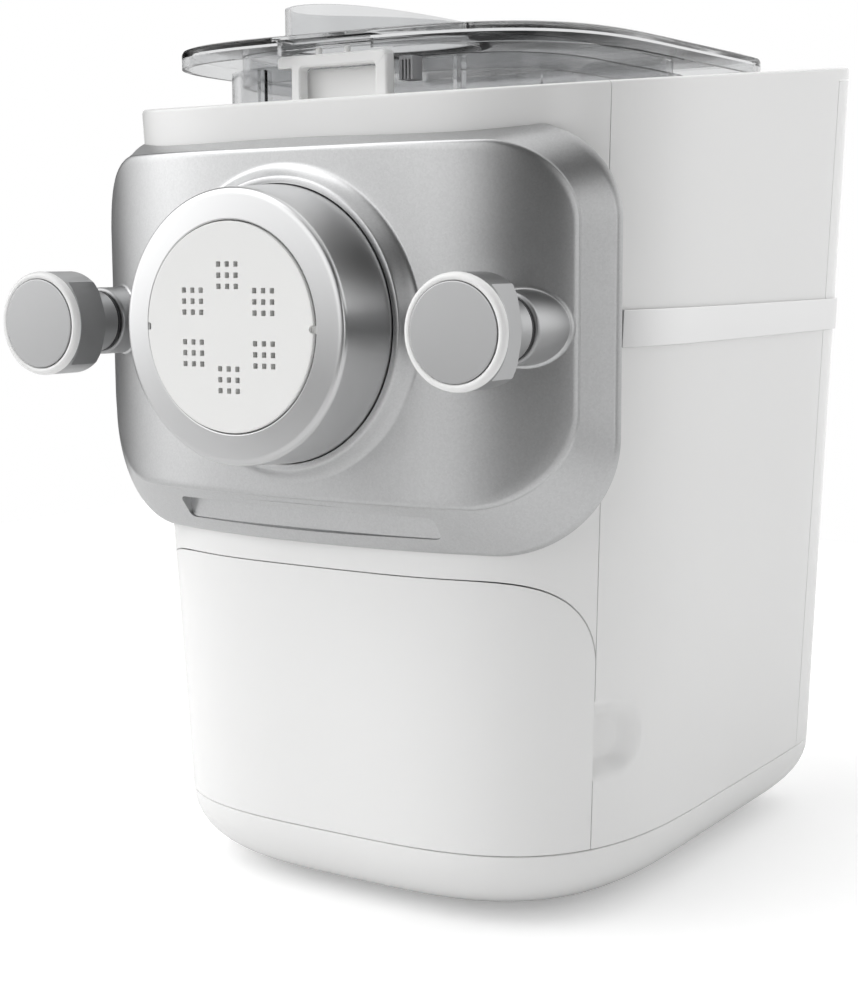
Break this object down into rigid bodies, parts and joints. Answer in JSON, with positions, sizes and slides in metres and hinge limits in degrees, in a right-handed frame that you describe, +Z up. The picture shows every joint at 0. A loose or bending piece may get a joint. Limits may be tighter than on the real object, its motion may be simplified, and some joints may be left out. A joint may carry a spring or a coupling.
{
  "type": "electric pasta maker",
  "caption": "Tabletop machine that mixes dough in a clear topped chamber and presses it through a shaping disc held by a cap ring, with a pull-off front panel and a storage drawer.",
  "frame": {"origin": "centre of the bounding box at table level", "axes": "+X to the machine's left as seen by someone facing its front, +Y to the rear cover, +Z up"},
  "size_m": [0.2162, 0.286, 0.3228],
  "materials": {
    "white_shell": "glossy moulded white",
    "white_polymer": "satin white",
    "silver_panel": "fine metallic silver paint",
    "cap_metal": "satin machined",
    "clear_plastic": "clear, faintly grey",
    "dark_gloss": "black gloss",
    "rubber": "matt black",
    "frame_plastic": "moulded grey",
    "steel": "ground",
    "alloy": "die-cast",
    "motor_steel": "zinc plated",
    "gear_nylon": "moulded gear",
    "board": "green solder mask",
    "winding": "iron core with wound coil"
  },
  "bodies": {
    "housing": {"base_pan": "white_shell", "rubber_feet": "rubber", "front_shell": "white_shell", "side_shell_left": "white_shell", "side_shell_right": "white_shell", "rear_cover": "white_shell", "trim_band": "silver_panel", "top_deck": "white_shell", "control_fascia": "dark_gloss", "display_window": "dark_gloss", "drawer_runners": "frame_plastic", "inner_frame": "frame_plastic", "lock_rods": "steel", "load_cell": "alloy", "motor_can": "motor_steel", "gearbox_housing": "alloy", "gearbox_cover": "alloy", "bearings": "steel", "intermediate_pin": "steel", "shaft_seal": "rubber", "main_board": "board", "transformer": "winding", "control_board": "board", "mixing_chamber": "clear_plastic", "latch_plate": "white_shell", "extruder_tube": "cap_metal", "cord_gland": "rubber", "case_screws": "steel"},
    "start_key": {"start_button": "white_shell"},
    "program_key_1": {"program_button_1": "white_shell"},
    "program_key_2": {"program_button_2": "white_shell"},
    "program_key_3": {"program_button_3": "white_shell"},
    "minus_key": {"minus_button": "white_shell"},
    "plus_key": {"plus_button": "white_shell"},
    "drawer": {"drawer_front": "white_shell", "drawer_tray": "white_polymer"},
    "rotor": {"armature_shaft": "steel", "motor_pinion": "steel", "motor_fan": "frame_plastic"},
    "idler": {"intermediate_gear": "gear_nylon"},
    "drive": {"output_gear": "gear_nylon", "drive_shaft": "steel", "mixing_paddle": "white_polymer", "auger": "white_polymer"},
    "chamber_lid": {"lid": "clear_plastic"},
    "latch": {"latch_frame": "white_shell"},
    "panel": {"front_panel": "silver_panel"},
    "washer_left": {"knob_washer_left": "rubber"},
    "washer_right": {"knob_washer_right": "rubber"},
    "left_knob": {"knob_left": "white_shell", "knob_face_left": "silver_panel"},
    "right_knob": {"knob_right": "white_shell", "knob_face_right": "silver_panel"},
    "disc": {"shaping_disc": "white_polymer"},
    "cap": {"cap_ring": "cap_metal"}
  },
  "joints": [
    {"name": "start_press", "type": "slide", "parent": "housing", "child": "start_key", "axis": [0, 0.0995, -0.995], "range_m": [0, 0.0008], "stiffness_N_per_m": 300, "springref_m": -0.001},
    {"name": "program_press_1", "type": "slide", "parent": "housing", "child": "program_key_1", "axis": [0, 0.0995, -0.995], "range_m": [0, 0.0008], "stiffness_N_per_m": 300, "springref_m": -0.001},
    {"name": "program_press_2", "type": "slide", "parent": "housing", "child": "program_key_2", "axis": [0, 0.0995, -0.995], "range_m": [0, 0.0008], "stiffness_N_per_m": 300, "springref_m": -0.001},
    {"name": "program_press_3", "type": "slide", "parent": "housing", "child": "program_key_3", "axis": [0, 0.0995, -0.995], "range_m": [0, 0.0008], "stiffness_N_per_m": 300, "springref_m": -0.001},
    {"name": "minus_press", "type": "slide", "parent": "housing", "child": "minus_key", "axis": [0, 0.0995, -0.995], "range_m": [0, 0.0008], "stiffness_N_per_m": 300, "springref_m": -0.001},
    {"name": "plus_press", "type": "slide", "parent": "housing", "child": "plus_key", "axis": [0, 0.0995, -0.995], "range_m": [0, 0.0008], "stiffness_N_per_m": 300, "springref_m": -0.001},
    {"name": "drawer_slide", "type": "slide", "parent": "housing", "child": "drawer", "axis": [0, -1, 0], "range_m": [0, 0.07]},
    {"name": "drive_spin", "type": "hinge", "parent": "housing", "child": "drive", "pos_m": [0, 0, 0.21], "axis": [0, 1, 0], "continuous": true},
    {"name": "idler_spin", "type": "hinge", "parent": "housing", "child": "idler", "pos_m": [0, 0.075, 0.153], "axis": [0, 1, 0], "continuous": true},
    {"name": "rotor_spin", "type": "hinge", "parent": "housing", "child": "rotor", "pos_m": [0, 0.03, 0.099], "axis": [0, 1, 0], "continuous": true},
    {"name": "lid_lift", "type": "slide", "parent": "housing", "child": "chamber_lid", "axis": [0, 0, 1], "range_m": [0, 0.15]},
    {"name": "latch_press", "type": "slide", "parent": "housing", "child": "latch", "axis": [0, 0, -1], "range_m": [0, 0.004], "stiffness_N_per_m": 600, "springref_m": -0.002},
    {"name": "panel_pull", "type": "slide", "parent": "housing", "child": "panel", "axis": [0, -1, 0], "range_m": [0, 0.07]},
    {"name": "disc_pull", "type": "slide", "parent": "housing", "child": "disc", "axis": [0, -1, 0], "range_m": [0, 0.012]},
    {"name": "cap_turn", "type": "hinge", "parent": "disc", "child": "cap", "pos_m": [0, -0.13, 0.21], "axis": [0, -1, 0], "range_deg": [0, 540]},
    {"name": "knob_draw_left", "type": "slide", "parent": "panel", "child": "washer_left", "axis": [0, -1, 0], "range_m": [0, 0.005]},
    {"name": "knob_turn_left", "type": "hinge", "parent": "washer_left", "child": "left_knob", "pos_m": [-0.085, -0.12, 0.21], "axis": [0, -1, 0], "range_deg": [0, 900]},
    {"name": "knob_draw_right", "type": "slide", "parent": "panel", "child": "washer_right", "axis": [0, -1, 0], "range_m": [0, 0.005]},
    {"name": "knob_turn_right", "type": "hinge", "parent": "washer_right", "child": "right_knob", "pos_m": [0.085, -0.12, 0.21], "axis": [0, -1, 0], "range_deg": [0, 900]}
  ],
  "couplings": [
    {"joint": "idler_spin", "follows": "drive_spin", "ratio": -4.0667},
    {"joint": "rotor_spin", "follows": "drive_spin", "ratio": 15.453},
    {"joint": "disc_pull", "follows": "cap_turn", "m_per_rad": 0.001273},
    {"joint": "knob_draw_left", "follows": "knob_turn_left", "m_per_rad": 0.000318},
    {"joint": "knob_draw_right", "follows": "knob_turn_right", "m_per_rad": 0.000318}
  ]
}
